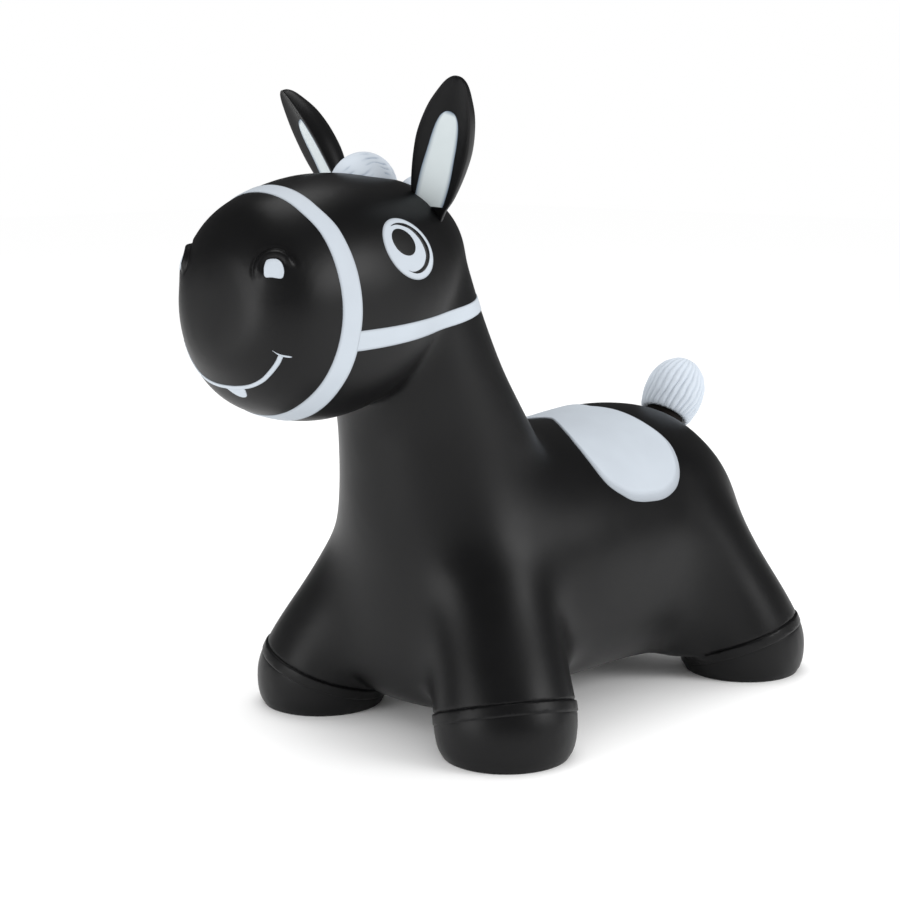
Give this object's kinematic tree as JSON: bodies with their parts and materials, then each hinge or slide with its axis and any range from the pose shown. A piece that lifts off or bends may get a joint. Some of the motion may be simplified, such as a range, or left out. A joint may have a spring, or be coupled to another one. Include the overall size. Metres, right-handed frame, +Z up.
{
  "type": "bouncy ride on animal",
  "caption": "Inflatable ride-on horse of soft moulded vinyl on short air-filled legs, with painted halter, eyes, smile and saddle, moulded ears, forelock and tail, and a belly plug.",
  "frame": {"origin": "on the floor under the middle of the horse's bounding box", "axes": "+Z up from the floor, -Y the way the horse looks, +X its own left"},
  "size_m": [0.3142, 0.5694, 0.5091],
  "materials": {
    "black_vinyl": "satin moulded vinyl",
    "dark_vinyl": "matte textured vinyl",
    "white_vinyl": "satin moulded vinyl, painted",
    "white_paint": "flexible satin paint on vinyl",
    "black_paint": "flexible gloss paint on vinyl",
    "plug": "soft matte plastic"
  },
  "bodies": {
    "feet": {"front_left_hoof": "black_vinyl", "front_right_hoof": "black_vinyl", "rear_left_hoof": "black_vinyl", "rear_right_hoof": "black_vinyl", "front_left_leg": "black_vinyl", "front_right_leg": "black_vinyl", "rear_left_leg": "black_vinyl", "rear_right_leg": "black_vinyl"},
    "body": {"body_skin": "black_vinyl", "saddle_patch": "white_vinyl", "noseband": "white_paint", "cheek_strap": "white_paint", "forelock": "white_vinyl", "mane_tuft": "white_vinyl", "left_eye": "white_paint", "right_eye": "white_paint", "left_pupil": "black_paint", "right_pupil": "black_paint", "left_nostril": "white_paint", "right_nostril": "white_paint", "mouth_line": "white_paint", "tooth": "white_paint"},
    "left_ear": {"left_ear": "black_vinyl", "left_ear_lining": "white_paint"},
    "right_ear": {"right_ear": "black_vinyl", "right_ear_lining": "white_paint"},
    "tail": {"tail_collar": "dark_vinyl", "tail_tuft": "white_vinyl"},
    "plug": {"valve_plug": "plug"}
  },
  "joints": [
    {"name": "bounce", "type": "slide", "parent": "feet", "child": "body", "axis": [0, 0, -1], "range_m": [0, 0.012], "stiffness_N_per_m": 14000, "springref_m": -0.002, "deforming": ["front_left_leg", "front_right_leg", "rear_left_leg", "rear_right_leg"]},
    {"name": "left_ear_bend", "type": "hinge", "parent": "body", "child": "left_ear", "pos_m": [0.0449, -0.11546, 0.41099], "axis": [0.8585, 0.3632, -0.3619], "range_deg": [-10, 10], "stiffness_Nm_per_rad": 2},
    {"name": "right_ear_bend", "type": "hinge", "parent": "body", "child": "right_ear", "pos_m": [-0.0449, -0.11546, 0.41099], "axis": [0.8585, -0.3632, 0.3619], "range_deg": [-10, 10], "stiffness_Nm_per_rad": 2},
    {"name": "tail_bend", "type": "hinge", "parent": "body", "child": "tail", "pos_m": [0, 0.23254, 0.19939], "axis": [1, 0, 0], "range_deg": [-12, 12], "stiffness_Nm_per_rad": 2.5},
    {"name": "plug_pull", "type": "slide", "parent": "body", "child": "plug", "axis": [0, 0, -1], "range_m": [0, 0.013]}
  ]
}
